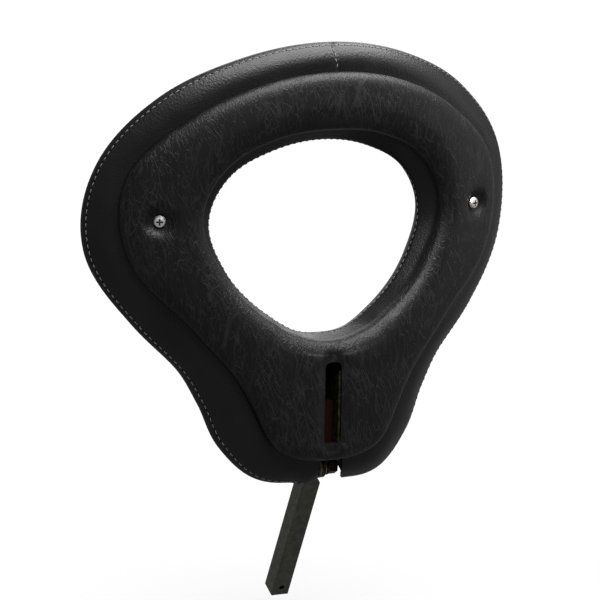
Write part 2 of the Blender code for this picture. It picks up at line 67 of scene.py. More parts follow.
# Outlines of the ring, as in the CAD model: (degrees above the horizontal, radius).
REAR_OUTER = ((-90, 118), (-72, 115.5), (-58, 98), (-45, 89), (-30, 89.5), (-12, 101),
              (8, 132), (28, 149.5), (48, 144.5), (68, 140), (90, 138))
REAR_INNER = ((-90, 37), (-58, 39), (-45, 42), (-30, 46), (-12, 56),
              (8, 73.5), (28, 96), (48, 103.5), (68, 101.5), (90, 99))
FRONT_OUTER = ((-90, 134), (-72, 139.5), (-58, 129.5), (-45, 115.5), (-30, 112), (-12, 127.5),
               (8, 154), (28, 166), (48, 164), (68, 158.5), (90, 156.5))
HOLE = ((-90, 36), (-58, 38.5), (-45, 40), (-30, 43.5), (-12, 52),
        (8, 67), (28, 86), (48, 93.5), (68, 92.5), (90, 92))
# How much deeper than its usual depth the front seam lies, at an angle.
SEAM_SHIFT = ((-90, 1), (-72, 3.5), (-58, 5), (-45, 5), (-30, 3.5), (-12, 0.5),
              (8, -2), (28, -5), (48, -1), (68, -0.5), (90, 0))
CURVE_RADIUS = 280        # the whole ring is bent round an upright axis

PIVOT_Y = 33
PIVOT_Z = -129.5
SCREW_X = 115
SCREW_Z = 43.5
SLOT_LEFT = -6
SLOT_RIGHT = 6.1
SLOT_TOP = -52
SLOT_BOTTOM = -107.5
SLOT_CORNER = 4.5
NOTCH_LEFT = -19
NOTCH_RIGHT = 19
NOTCH_TOP = -110
BOXING_NOTCH_LEFT = -2
BOXING_NOTCH_RIGHT = 12
NOTCH_CORNER = 7

RING_STEPS = 300          # points round a ring
BAND_STEPS = 420          # points round the outer band, which has the finest detail
JOINT_STEPS = 45          # points of the outer band across its joint
BEFORE_COVER = -20        # a depth outside the rear surface, where cuts start
BEYOND_RIM = -160         # a height below the chin end, where cuts end

PIVOT = Vector(frame["record"]["behaviour"]["joints"][0]["pos_m"])
ORIGIN = PIVOT - Vector((0, PIVOT_Y, PIVOT_Z)) * MM


# ---------------------------------------------------------------- shader helpers

def new_material(name):
    mat = bpy.data.materials.new(name)
    mat.use_nodes = True
    tree = mat.node_tree
    return mat, tree, tree.nodes["Principled BSDF"]


def node(tree, kind, **settings):
    made = tree.nodes.new(kind)
    for key, value in settings.items():
        if key in made.inputs:
            made.inputs[key].default_value = value
        else:
            setattr(made, key, value)
    return made


def object_coordinates(tree, scale=(1, 1, 1), turn=(0, 0, 0)):
    coordinates = node(tree, "ShaderNodeTexCoord")
    turned = node(tree, "ShaderNodeMapping", Rotation=turn)
    stretched = node(tree, "ShaderNodeMapping", Scale=scale)
    tree.links.new(coordinates.outputs["Object"], turned.inputs["Vector"])
    tree.links.new(turned.outputs["Vector"], stretched.inputs["Vector"])
    return stretched.outputs["Vector"]


def ramp(tree, value, stops):
    made = node(tree, "ShaderNodeValToRGB")
    elements = made.color_ramp.elements
    for index, (place, colour) in enumerate(stops):
        element = elements[index] if index < 2 else elements.new(place)
        element.position = place
        element.color = (*colour, 1) if isinstance(colour, tuple) else (colour, colour, colour, 1)
    tree.links.new(value, made.inputs["Fac"])
    return made.outputs["Color"]


def noise(tree, vector, scale, detail=4, roughness=0.55, distortion=0):
    made = node(tree, "ShaderNodeTexNoise", Scale=scale, Detail=detail, Roughness=roughness,
                Distortion=distortion)
    tree.links.new(vector, made.inputs["Vector"])
    return made.outputs["Fac"]


def voronoi(tree, vector, scale, feature="F1"):
    made = node(tree, "ShaderNodeTexVoronoi", feature=feature, Scale=scale)
    tree.links.new(vector, made.inputs["Vector"])
    return made.outputs["Distance"]


def maths(tree, operation, first, second):
    made = node(tree, "ShaderNodeMath", operation=operation)
    for index, value in enumerate((first, second)):
        if isinstance(value, (int, float)):
            made.inputs[index].default_value = value
        else:
            tree.links.new(value, made.inputs[index])
    return made.outputs["Value"]


def bump(tree, height, strength, distance, below=None):
    made = node(tree, "ShaderNodeBump", Strength=strength, Distance=distance)
    tree.links.new(height, made.inputs["Height"])
    if below:
        tree.links.new(below, made.inputs["Normal"])
    return made.outputs["Normal"]


def warped(tree, vector, scale, amount):
    """The vector moved about by a slow noise, so that a pattern wanders."""
    made = node(tree, "ShaderNodeTexNoise", Scale=scale, Detail=2)
    tree.links.new(vector, made.inputs["Vector"])
    centred = node(tree, "ShaderNodeVectorMath", operation="SUBTRACT")
    tree.links.new(made.outputs["Color"], centred.inputs[0])
    centred.inputs[1].default_value = (0.5, 0.5, 0.5)
    scaled = node(tree, "ShaderNodeVectorMath", operation="SCALE", Scale=amount)
    tree.links.new(centred.outputs["Vector"], scaled.inputs[0])
    added = node(tree, "ShaderNodeVectorMath", operation="ADD")
    tree.links.new(vector, added.inputs[0])
    tree.links.new(scaled.outputs["Vector"], added.inputs[1])
    return added.outputs["Vector"]


# ---------------------------------------------------------------- materials

def leatherette_material():
    """Smooth black leatherette with a fine pebble grain."""
    mat, tree, shader = new_material("leatherette_black")
    place = object_coordinates(tree)
    wandering = warped(tree, place, 90, 0.003)
    cells = voronoi(tree, wandering, 800, "SMOOTH_F1")
    fine = noise(tree, place, 2400, 3)
    broad = noise(tree, place, 22, 3)
    tree.links.new(ramp(tree, broad, ((0.3, 0.0010), (0.7, 0.0022))), shader.inputs["Base Color"])
    tree.links.new(ramp(tree, noise(tree, place, 70, 5), ((0.3, 0.35), (0.75, 0.45))),
                   shader.inputs["Roughness"])
    shader.inputs["Specular IOR Level"].default_value = 0.225
    pebbles = bump(tree, cells, 0.32, 0.0005)
    pores = bump(tree, fine, 0.16, 0.0002, pebbles)
    waves = noise(tree, place, 30, 2)
    tree.links.new(bump(tree, waves, 0.12, 0.0012, pores), shader.inputs["Normal"])
    return mat


def crease_lines(tree, scale, stretch, lean, width):
    """Thin wandering lines along z, leaning by an angle, where a noise passes its middle value."""
    place = object_coordinates(tree, scale=(1, 1, stretch), turn=(0, lean, 0))
    field = noise(tree, warped(tree, place, 70, 0.0025), scale, 0.6, 0.5)
    return ramp(tree, field, ((0.5 - width, 0.0), (0.5, 1.0), (0.5 + width, 0.0)))


def vinyl_material():
    """Near-black vinyl with long upright wrinkles in its grain, their crests painted lighter as a
    painted highlight.
    """
    mat, tree, shader = new_material("wrinkled_vinyl_black")
    whole = object_coordinates(tree)
    crease_relief_and_painted_highlight = crease_lines(tree, 360, 0.20, 0.08, 0.032)
    leaning = ((330, 0.18, 0.50), (300, 0.18, -0.42), (130, 0.10, 0.35), (120, 0.10, -0.25))
    for scale, stretch, lean in leaning:
        spread = noise(tree, whole, 34 + 20 * abs(lean), 2)
        patches = ramp(tree, spread, ((0.42, 0.0), (0.58, 1.0)))
        layer = maths(tree, "MULTIPLY", crease_lines(tree, scale, stretch, lean, 0.03), patches)
        crease_relief_and_painted_highlight = maths(tree, "MAXIMUM", crease_relief_and_painted_highlight, layer)
    wear = ramp(tree, noise(tree, whole, 90, 4), ((0.35, 0.35), (0.65, 1.0)))
    crease_relief_and_painted_highlight = maths(tree, "MULTIPLY", crease_relief_and_painted_highlight, wear)
    pores = voronoi(tree, whole, 1100)
    # painted highlight: the crease crests get a lighter base colour, besides their bump and lower
    # roughness
    tree.links.new(ramp(tree, crease_relief_and_painted_highlight, ((0.0, 0.0010), (1.0, 0.0085))), shader.inputs["Base Color"])
    tree.links.new(ramp(tree, crease_relief_and_painted_highlight, ((0.0, 0.46), (1.0, 0.38))), shader.inputs["Roughness"])
    shader.inputs["Specular IOR Level"].default_value = 0.17
    raised = bump(tree, crease_relief_and_painted_highlight, 0.5, 0.0004)
    tree.links.new(bump(tree, pores, 0.2, 0.0003, raised), shader.inputs["Normal"])
    return mat


def thread_material():
    mat, tree, shader = new_material("thread_grey")
    place = object_coordinates(tree)
    strands = noise(tree, place, 5200, 3)
    tree.links.new(ramp(tree, strands, ((0.3, (0.045, 0.045, 0.047)), (0.7, (0.11, 0.11, 0.113)))),
                   shader.inputs["Base Color"])
    shader.inputs["Roughness"].default_value = 0.75
    tree.links.new(bump(tree, strands, 0.5, 0.0002), shader.inputs["Normal"])
    return mat


# painted shade: a near-black material for the beads that stand in for the shade in the needle holes
def needle_material():
    mat, tree, shader = new_material("needle_hole_black")
    shade = noise(tree, object_coordinates(tree), 3000, 2)
    tree.links.new(ramp(tree, shade, ((0.3, 0.0003), (0.7, 0.0010))), shader.inputs["Base Color"])
    shader.inputs["Roughness"].default_value = 0.95
    shader.inputs["Specular IOR Level"].default_value = 0.02
    return mat


def metal_material(name, dark, light, roughness):
    """Plated or bare metal with mottled colour, uneven gloss and fine scratches."""
    mat, tree, shader = new_material(name)
    place = object_coordinates(tree)
    mottle = noise(tree, place, 260, 5)
    tree.links.new(ramp(tree, mottle, ((0.35, dark), (0.65, light))), shader.inputs["Base Color"])
    shader.inputs["Metallic"].default_value = 1.0
    wear = noise(tree, place, 420, 6, 0.65)
    gloss = ((0.3, roughness * 0.8), (0.7, roughness * 1.35))
    tree.links.new(ramp(tree, wear, gloss), shader.inputs["Roughness"])
    lines = noise(tree, object_coordinates(tree, scale=(1, 1, 0.08)), 900, 2)
    tree.links.new(bump(tree, lines, 0.15, 0.0001), shader.inputs["Normal"])
    return mat


def screw_material():
    """Bright zinc with painted shade: its colour turns brown and near black down in the screw's cross
    recess, by ambient occlusion.
    """
    mat, tree, shader = new_material("bright_zinc")
    ao_painted_recess_shade = node(tree, "ShaderNodeAmbientOcclusion", samples=12, Distance=0.0022)
    # painted shade: the base colour falls from bright zinc to brown and near black where ambient
    # occlusion finds the recess closed in
    colours = ((0.45, (0.012, 0.008, 0.003)), (0.72, (0.30, 0.27, 0.20)),
               (0.92, (0.62, 0.61, 0.58)))
    tree.links.new(ramp(tree, ao_painted_recess_shade.outputs["AO"], colours), shader.inputs["Base Color"])
    shader.inputs["Metallic"].default_value = 1.0
    wear = noise(tree, object_coordinates(tree), 420, 6, 0.65)
    tree.links.new(ramp(tree, wear, ((0.3, 0.28), (0.7, 0.46))), shader.inputs["Roughness"])
    tree.links.new(bump(tree, wear, 0.05, 0.0001), shader.inputs["Normal"])
    return mat


def plywood_material():
    """Reddish brown sealed plywood, kept very dark overall as painted shade for the slot it is seen
    through: long grain on the face, plies through its thickness.
    """
    mat, tree, shader = new_material("plywood_brown")
    grain = noise(tree, object_coordinates(tree, scale=(1, 1, 0.06)), 700, 6, 0.6, 0.6)
    plies = node(tree, "ShaderNodeTexWave", wave_type="BANDS", bands_direction="Y", Scale=110,
                 Distortion=1.2, Detail=2)
    tree.links.new(object_coordinates(tree), plies.inputs["Vector"])
    bands = maths(tree, "ADD", maths(tree, "MULTIPLY", plies.outputs["Fac"], 0.5), 0.6)
    mixed = maths(tree, "MULTIPLY", grain, bands)
    # painted shade: the reddish brown is darkened overall to the shade it lies in behind the slot
    colours = ((0.15, (0.003, 0.0006, 0.0002)), (0.6, (0.014, 0.0022, 0.0009)))
    tree.links.new(ramp(tree, mixed, colours), shader.inputs["Base Color"])
    shader.inputs["Roughness"].default_value = 0.7
    shader.inputs["Specular IOR Level"].default_value = 0.06
    tree.links.new(bump(tree, grain, 0.3, 0.0003), shader.inputs["Normal"])
    return mat


def foam_material():
    mat, tree, shader = new_material("foam_cream")
    place = object_coordinates(tree)
    pores = voronoi(tree, place, 900)
    # painted shade: the colour is darker and browner at the pore centres, where the bump sinks them
    tree.links.new(ramp(tree, pores, ((0.0, (0.35, 0.31, 0.18)), (0.5, (0.74, 0.70, 0.5)))),
                   shader.inputs["Base Color"])
    shader.inputs["Roughness"].default_value = 0.95
    tree.links.new(bump(tree, pores, 0.9, 0.0008), shader.inputs["Normal"])
    return mat


def fibre_material():
    mat, tree, shader = new_material("friction_fibre")
    specks = noise(tree, object_coordinates(tree), 1500, 4)
    colours = ((0.35, (0.018, 0.014, 0.007)), (0.65, (0.06, 0.048, 0.026)))
    tree.links.new(ramp(tree, specks, colours), shader.inputs["Base Color"])
    shader.inputs["Roughness"].default_value = 0.85
    tree.links.new(bump(tree, specks, 0.4, 0.0002), shader.inputs["Normal"])
    return mat


LEATHERETTE = leatherette_material()
VINYL = vinyl_material()
THREAD = thread_material()
NEEDLE = needle_material()
PLYWOOD = plywood_material()
FOAM = foam_material()
FIBRE = fibre_material()
BAR_STEEL = metal_material("bar_dark_zinc", (0.056, 0.058, 0.046), (0.085, 0.087, 0.070), 0.42)
ZINC = metal_material("yellow_zinc", (0.012, 0.012, 0.005), (0.055, 0.051, 0.022), 0.48)
BRIGHT = screw_material()
SPRING = metal_material("spring_steel", (0.16, 0.16, 0.17), (0.30, 0.30, 0.31), 0.35)


# ---------------------------------------------------------------- outlines and sections

def radius_at(outline, degrees):
    """Radius of a half outline at an angle, by a smooth curve through its points."""
    if degrees > 90:
        degrees = 180 - degrees
    if degrees < -90:
        degrees = -180 - degrees
    before = (2 * outline[0][0] - outline[1][0], outline[1][1])
    after = (2 * outline[-1][0] - outline[-2][0], outline[-2][1])
    points = (before, *outline, after)
    for index in range(1, len(points) - 2):
        left, right = points[index], points[index + 1]
        if degrees <= right[0]:
            break
    span = right[0] - left[0]
    slope_left = (right[1] - points[index - 1][1]) / (right[0] - points[index - 1][0])
    slope_right = (points[index + 2][1] - left[1]) / (points[index + 2][0] - left[0])
    t = (degrees - left[0]) / span
    return ((2 * t**3 - 3 * t**2 + 1) * left[1] + (t**3 - 2 * t**2 + t) * span * slope_left
            + (3 * t**2 - 2 * t**3) * right[1] + (t**3 - t**2) * span * slope_right)


def bend(x):
    """How far the bent ring stands towards the face, at a distance from its middle."""
    return CURVE_RADIUS - np.sqrt(CURVE_RADIUS**2 - np.square(x))


def to_world(flat):
    """World metres from flat cushion coordinates (x, depth, z)."""
    flat = np.asarray(flat, float)
    world = flat.copy()
    world[..., 1] += bend(flat[..., 0])
    return world * MM + np.array(ORIGIN)


def catmull(values, t):
    """A smooth value between the second and the third of four."""
    a, b, c, d = values
    return 0.5 * (2 * b + (c - a) * t + (2 * a - 5 * b + 4 * c - d) * t**2
                  + (3 * b - a - 3 * c + d) * t**3)


def section_samples(section, per_edge):
    """(four neighbouring points, share of the way) along a smooth curve with flagged corners."""
    samples = []
    for index in range(len(section) - 1):
        first, second = section[index], section[index + 1]
        before = first if index == 0 or first[3] else section[index - 1]
        after = second if index == len(section) - 2 or second[3] else section[index + 2]
        samples += [((before, first, second, after), step / per_edge) for step in range(per_edge)]
    samples.append(((section[-1],) * 4, 0))
    return samples


def ring_angles(steps, fine_steps=0, fine_reach=4):
    """Degrees round the ring, with more of them at the forehead end if a detail asks for it."""
    angles = [-90 + 360 * (step + 0.5) / steps for step in range(steps)]
    if fine_steps:
        angles = [angle for angle in angles if abs(angle - 90) > fine_reach]
        angles += list(np.linspace(90 - fine_reach, 90 + fine_reach, fine_steps))
    return sorted(angles)


def ring_grid(inner, outer, section, angles, per_edge, shift=None):
    """Flat coordinates (angle round the ring, place on the section, 3) of a ring.

    A section is a list of (share of the way from the inner to the outer outline, offset, depth,
    whether it is a corner).  A shift is an outline of depths, added in full at the outer outline.
    """
    samples = section_samples(section, per_edge)
    grid = np.zeros((len(angles), len(samples), 3))
    for step, degrees in enumerate(angles):
        angle = math.radians(degrees)
        near, far = radius_at(inner, degrees), radius_at(outer, degrees)
        for place, (four, t) in enumerate(samples):
            radius = catmull([near + (far - near) * point[0] + point[1] for point in four], t)
            depth = catmull([point[2] for point in four], t)
            if shift:
                share = min(1, max(0, (radius - near) / (far - near)))
                depth += radius_at(shift, degrees) * share**2
            grid[step, place] = (radius * math.cos(angle), depth, radius * math.sin(angle))
    return grid


def grid_object(name, grid, mat):
    """A closed mesh from a ring grid."""
    steps, places, _ = grid.shape
    flat_index = np.arange(steps * places).reshape(steps, places)
    faces = []
    for step in range(steps):
        after = (step + 1) % steps
        for place in range(places):
            other = (place + 1) % places
            faces.append((flat_index[step, place], flat_index[step, other],
                          flat_index[after, other], flat_index[after, place]))
    mesh = bpy.data.meshes.new(name)
    points = to_world(grid).reshape(-1, 3).tolist()
    mesh.from_pydata(points, [], [tuple(map(int, face)) for face in faces])
    obj = bpy.data.objects.new(name, mesh)
    bpy.context.scene.collection.objects.link(obj)
    mesh.materials.append(mat)
    outward(mesh)
    mesh.shade_smooth()
    return obj


def outward(mesh):
    """Turn every face to the outside."""
    bm = bmesh.new()
    bm.from_mesh(mesh)
    bmesh.ops.recalc_face_normals(bm, faces=bm.faces)
    bm.to_mesh(mesh)
    bm.free()


def bell(distance, width):
    """1 at no distance, falling smoothly to nothing past the width."""
    return np.exp(-np.square(distance / width))


# ---------------------------------------------------------------- simulation

def evaluated_points(obj):
    graph = bpy.context.evaluated_depsgraph_get()
    shown = obj.evaluated_get(graph)
    mesh = shown.to_mesh()
    points = np.zeros(len(mesh.vertices) * 3)
    mesh.vertices.foreach_get("co", points)
    shown.to_mesh_clear()
    return points.reshape(-1, 3)


def smoothed(field, passes=14):
    """Even out a field over a closed grid, along both of its directions."""
    for _ in range(passes):
        for axis in (0, 1):
            beside = np.roll(field, 1, axis) + np.roll(field, -1, axis)
            field = 0.5 * field + 0.25 * beside
    return field


CLOTH_PRESSURE = 4.0
CLOTH_FRAMES = 16


def inflate(obj, held, cap):
    """Blow a closed pad up as cloth, with some of its grid's points held, and keep the result.

    No point moves further than the cap, in metres.
    """
    before = evaluated_points(obj)
    group = obj.vertex_groups.new(name="held")
    group.add([int(index) for index in np.nonzero(held.ravel())[0]], 1.0, "REPLACE")
    mod = obj.modifiers.new("Cloth", "CLOTH")
    cloth = mod.settings
    cloth.quality = 5
    cloth.mass = 0.3
    cloth.tension_stiffness = 12
    cloth.compression_stiffness = 12
    cloth.shear_stiffness = 6
    cloth.bending_stiffness = 0.4
    cloth.use_pressure = True
    cloth.uniform_pressure_force = CLOTH_PRESSURE
    cloth.vertex_group_mass = "held"
    cloth.effector_weights.gravity = 0
    mod.collision_settings.use_collision = False
    mod.point_cache.frame_start = 1
    mod.point_cache.frame_end = CLOTH_FRAMES
    scene = bpy.context.scene
    for number in range(1, CLOTH_FRAMES + 1):
        scene.frame_set(number)
    moved = evaluated_points(obj) - before
    scene.frame_set(1)
    obj.modifiers.remove(mod)
    obj.vertex_groups.remove(group)
    length = np.linalg.norm(moved, axis=1)
    scale = np.minimum(1, cap / np.maximum(length, 1e-9))
    moved = smoothed((moved * scale[:, None]).reshape(*held.shape, 3))
    moved *= smoothed(1.0 - held)[..., None]
    obj.data.vertices.foreach_set("co", before.ravel() + moved.ravel())
    obj.data.update()
    print("inflated", obj.name, "mean mm", round(float(length.mean() * 1000), 2),
          "max mm", round(float(length.max() * 1000), 2))


# ---------------------------------------------------------------- cutting

def cutter(name, bm):
    mesh = bpy.data.meshes.new(name)
    bmesh.ops.recalc_face_normals(bm, faces=bm.faces)
    bm.to_mesh(mesh)
    bm.free()
    obj = bpy.data.objects.new(name, mesh)
    bpy.context.scene.collection.objects.link(obj)
    return obj


def prism(outline, low, high):
    """An outline of (x, z) points in cushion millimetres, extruded in depth."""
    bm = bmesh.new()
    verts = [bm.verts.new(Vector((x, low, z)) * MM + ORIGIN) for x, z in outline]
    face = bm.faces.new(verts)
    moved = bmesh.ops.extrude_face_region(bm, geom=[face])["geom"]
    tops = [item for item in moved if isinstance(item, bmesh.types.BMVert)]
    bmesh.ops.translate(bm, verts=tops, vec=(0, (high - low) * MM, 0))
    return bm


def subtract(obj, bm):
    """Cut a shape out of a piece and keep only the result."""
    tool = cutter(f"{obj.name}_cut", bm)
    mod = obj.modifiers.new("cut", "BOOLEAN")
    mod.operation = "DIFFERENCE"
    mod.solver = "EXACT"
    mod.object = tool
    graph = bpy.context.evaluated_depsgraph_get()
    mesh = bpy.data.meshes.new_from_object(obj.evaluated_get(graph))
    obj.modifiers.remove(mod)
    old = obj.data
    obj.data = mesh
    bpy.data.meshes.remove(old)
    bpy.data.objects.remove(tool, do_unlink=True)
    mesh.shade_smooth()
    mesh.set_sharp_from_angle(angle=math.radians(40))


def rounded_slot(left, right, low, high, radius, steps=6):
    outline = []
    corners = ((right - radius, high - radius, 0), (left + radius, high - radius, 90),
               (left + radius, low + radius, 180), (right - radius, low + radius, 270))
    for x, z, start in corners:
        for step in range(steps + 1):
            angle = math.radians(start + 90 * step / steps)
            outline.append((x + radius * math.cos(angle), z + radius * math.sin(angle)))
    return outline


# ---------------------------------------------------------------- rear cover pad

SCREW_SEAT = 3.7          # depth of the surface under the screw heads
SCREW_SEAT_RADIUS = 5.0
SCREW_DIMPLE_WIDTH = 3.25
SLOT_DIMPLE = 2.4         # how far the cover's edges turn down into the slot
SLOT_DIMPLE_WIDTH = 3.5
SLOT_END = 3              # the slot's ends are this far from the ends of its middle line
REAR_PAD_CAP = 0.0011


def screw_distance(flat):
    """Distance in the ring's plane to the nearer cover screw."""
    return np.hypot(np.abs(flat[..., 0]) - SCREW_X, flat[..., 2] - SCREW_Z)


def slot_distance(flat):
    """Distance in the ring's plane to the middle line of the slot."""
    middle = (SLOT_LEFT + SLOT_RIGHT) / 2
    above = flat[..., 2] - (SLOT_TOP - SLOT_END)
    below = (SLOT_BOTTOM + SLOT_END) - flat[..., 2]
    return np.hypot(flat[..., 0] - middle, np.maximum(0, np.maximum(above, below)))


def press_screws(flat):
    """Sink the cover under the screw heads, with a soft rim round them."""
    beyond = np.maximum(0, screw_distance(flat) - SCREW_SEAT_RADIUS)
    share = bell(beyond, SCREW_DIMPLE_WIDTH)
    face = flat[..., 1] < SCREW_SEAT + 1
    flat[..., 1] = np.where(face, flat[..., 1] * (1 - share) + SCREW_SEAT * share, flat[..., 1])


def soften_chin(flat, passes=40):
    """Spread the crown evenly over the wide part of the cover between hole and slot."""
    turn = np.degrees(np.arctan2(flat[..., 2], flat[..., 0])) + 90
    share = (bell(turn, 32) * (flat[..., 1] < 4))[:, 1:-1]
    for _ in range(passes):
        depth = flat[..., 1]
        mean = 0.25 * depth[:, :-2] + 0.5 * depth[:, 1:-1] + 0.25 * depth[:, 2:]
        depth[:, 1:-1] += share * (mean - depth[:, 1:-1])


def make_rear_pad():
    """The padded vinyl cover: crowned, rolled edges, sunk at the screws and along the slot."""
    section = (
        (1, -1.0, 10.3, True),
        (1, 0.2, 7.5, False),
        (1, 0.1, 4.2, False),
        (1, -2.2, 1.7, False),
        (1, -6.0, 0.2, False),
        (1, -12.0, -0.6, False),
        (0.5, 0, -1.0, False),
        (0, 15.0, -0.5, False),
        (0, 9.5, 0.9, False),
        (0, 5.2, 3.2, False),
        (0, 1.8, 6.8, False),
        (0, 1.2, 12.4, True),
        (0, 3.2, 12.2, True),
        (0, 5.0, 8.0, True),
        (1, -2.6, 7.0, True),
        (1, -2.4, 10.3, True),
    )
    grid = ring_grid(REAR_INNER, REAR_OUTER, section, ring_angles(RING_STEPS), 5)
    soften_chin(grid)
    slot = slot_distance(grid)
    screws = screw_distance(grid)
    face = grid[..., 1] < 6.5
    from_slot = np.maximum(0, slot - SLOT_RIGHT)
    grid[..., 1] += np.where(face, SLOT_DIMPLE * bell(from_slot, SLOT_DIMPLE_WIDTH), 0)
    press_screws(grid)
    pad = grid_object("rear_cover_pad", grid, VINYL)
    held = (grid[..., 1] > 5.5) | (screws < SCREW_SEAT_RADIUS + 2) | (slot < SLOT_RIGHT + 2)
    inflate(pad, held, REAR_PAD_CAP)
    outline = rounded_slot(SLOT_LEFT, SLOT_RIGHT, SLOT_BOTTOM, SLOT_TOP, SLOT_CORNER)
    subtract(pad, prism(outline, BEFORE_COVER, 14))
    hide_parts("rear_cover", "rear_panel_foam")
    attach(pad, "headrest")


# ---------------------------------------------------------------- boxing bands

def lobe(flat):
    """Extra length of the boxing where it is folded round both sides of the notch."""
    low = np.clip((-105 - flat[..., 2]) / 20, 0, 1)
    return (3.4 * bell(flat[..., 0] + 10.5, 7) + 1.5 * bell(flat[..., 0] - 9, 6)) * low


JOINT_X = 0.4             # where the joint in the boxing meets the front seam
JOINT_LEAN = 2.4          # how far to the right it has gone at the cover


def seam_valley(flat):
    """The joint in the boxing at the forehead end: it leans to the right towards the cover."""
    high = np.clip((flat[..., 2] - 120) / 12, 0, 1)
    lean = JOINT_LEAN * np.clip((156 - flat[..., 2]) / 18, 0, 1)
    return bell(flat[..., 0] - JOINT_X - 0.9 - lean, 1.5) * high


def push_out(grid, amount):
    """Move points away from the ring's centre, in its plane."""
    radius = np.hypot(grid[..., 0], grid[..., 2])
    grid[..., 0] += amount * grid[..., 0] / radius
    grid[..., 2] += amount * grid[..., 2] / radius


def make_outer_band():
    """The leatherette band outside: flat by the rear cover, then rolled over to the front seam."""
    section = (
        (0, -3.0, 10.6, True),
        (0, 1.5, 10.5, False),
        (0.33, 0, 10.4, False),
        (0.52, 0, 11.1, False),
        (0.70, 0, 12.6, False),
        (0.86, 0, 14.6, False),
        (0.97, 0, 16.9, False),
        (1, -0.2, 18.2, True),
        (1, -2.2, 18.2, True),
        (0.86, -1.0, 16.0, False),
        (0.52, -0.6, 12.6, False),
        (0, 1.5, 12.0, False),
        (0, -3.0, 12.0, True),
    )
    angles = ring_angles(BAND_STEPS, JOINT_STEPS)
    grid = ring_grid(REAR_OUTER, FRONT_OUTER, section, angles, 5, SEAM_SHIFT)
    push_out(grid, lobe(grid))
    grid[..., 1] += 0.45 * seam_valley(grid)
    push_out(grid, -0.6 * seam_valley(grid))
    band = grid_object("outer_boxing_band", grid, LEATHERETTE)
    left, right = BOXING_NOTCH_LEFT, BOXING_NOTCH_RIGHT
    outline = [(left - 2.4, NOTCH_TOP), (left - 2.8, -126), (left - 4.6, -132), (left - 10, -138),
               (left - 10, BEYOND_RIM), (right + 7, BEYOND_RIM), (right + 6, -137), (right + 3, -134),
               (right + 1, -131), (right, -127), (right, NOTCH_TOP)]
    subtract(band, prism(outline[::-1], BEFORE_COVER, 60))
    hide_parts("outer_boxing")
    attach(band, "headrest")
    return band


def make_inner_band():
    """The leatherette band round the face hole."""
    section = (
        (0, 2.4, 10.8, True),
        (0, 1.4, 14.5, False),
        (0.5, 0.7, 19.5, False),
        (1, 0.3, 24.2, False),
        (1, 0.4, 27.0, True),
        (1, 1.8, 26.9, True),
        (1, 1.8, 24.0, False),
        (0.5, 2.2, 19.5, False),
        (0, 3.0, 14.5, False),
        (0, 3.4, 12.4, True),
    )
    grid = ring_grid(REAR_INNER, HOLE, section, ring_angles(RING_STEPS), 4)
    band = grid_object("inner_boxing_band", grid, LEATHERETTE)
    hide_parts("inner_boxing")
    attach(band, "headrest")
    return band


# ---------------------------------------------------------------- face pad

FACE_PAD_CAP = 0.0035
HELD_DEPTH = 23.0         # the pad is held by the boards above this depth


def make_face_pad():
    """The foam-filled face panel: crowned between its two seams."""
    section = (
        (1, -1.4, 18.6, True),
        (1, -0.1, 19.4, False),
        (1, -0.9, 21.2, False),
        (1, -3.9, 26.0, False),
        (1, -9.0, 33.0, False),
        (1, -18.0, 41.0, False),
        (0.66, 0, 47.4, False),
        (0.33, 0, 47.4, False),
        (0, 14.0, 44.0, False),
        (0, 6.6, 37.6, False),
        (0, 2.6, 31.5, False),
        (0, 0.5, 27.6, True),
        (0, 5.0, 22.0, True),
        (0.5, 0, 21.8, True),
        (1, -9.0, 21.8, True),
    )
    grid = ring_grid(HOLE, FRONT_OUTER, section, ring_angles(RING_STEPS), 4, SEAM_SHIFT)
    pad = grid_object("face_pad", grid, LEATHERETTE)
    inflate(pad, grid[..., 1] < HELD_DEPTH, FACE_PAD_CAP)
    outline = rounded_slot(NOTCH_LEFT, NOTCH_RIGHT, BEYOND_RIM - 10, NOTCH_TOP + 1, NOTCH_CORNER)
    subtract(pad, prism(outline, BEFORE_COVER, 90))
    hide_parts("front_panel_cover", "foam_core")
    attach(pad, "headrest")


# ---------------------------------------------------------------- stitches

NEEDLE_HOLE = 0.0010      # metres across


def stitch_template(length, thickness, sink):
    """One stitch: a short thread that rises out of the cloth and goes back in."""
    rings, sides = 7, 6
    points = []
    for ring in range(rings):
        t = ring / (rings - 1)
        swell = math.sin(math.pi * t) ** 0.5 * 0.85 + 0.15
        rise = sink * (math.sin(math.pi * t) - 0.35)
        for side in range(sides):
            angle = 2 * math.pi * side / sides
            points.append(((t - 0.5) * length, thickness * swell * math.cos(angle),
                           rise + thickness * 0.8 * swell * math.sin(angle)))
    faces = []
    for ring in range(rings - 1):
        for side in range(sides):
            after = (side + 1) % sides
            faces.append((ring * sides + side, (ring + 1) * sides + side,
                          (ring + 1) * sides + after, ring * sides + after))
    faces.append(tuple(range(sides)))
    faces.append(tuple(range((rings - 1) * sides, rings * sides))[::-1])
    return np.array(points), faces


def bead_template(radius, depth):
    """A flat bead in painted shade: it stands in for the shade in the needle hole between two
    stitches.
    """
    sides = 8
    points = [(0, 0, depth)]
    for side in range(sides):
        angle = 2 * math.pi * side / sides
        points.append((radius * math.cos(angle), radius * math.sin(angle), 0))
    points.append((0, 0, -depth))
    faces = []
    for side in range(sides):
        here, after = 1 + side, 1 + (side + 1) % sides
        faces += [(0, here, after), (sides + 1, after, here)]
    return np.array(points), faces


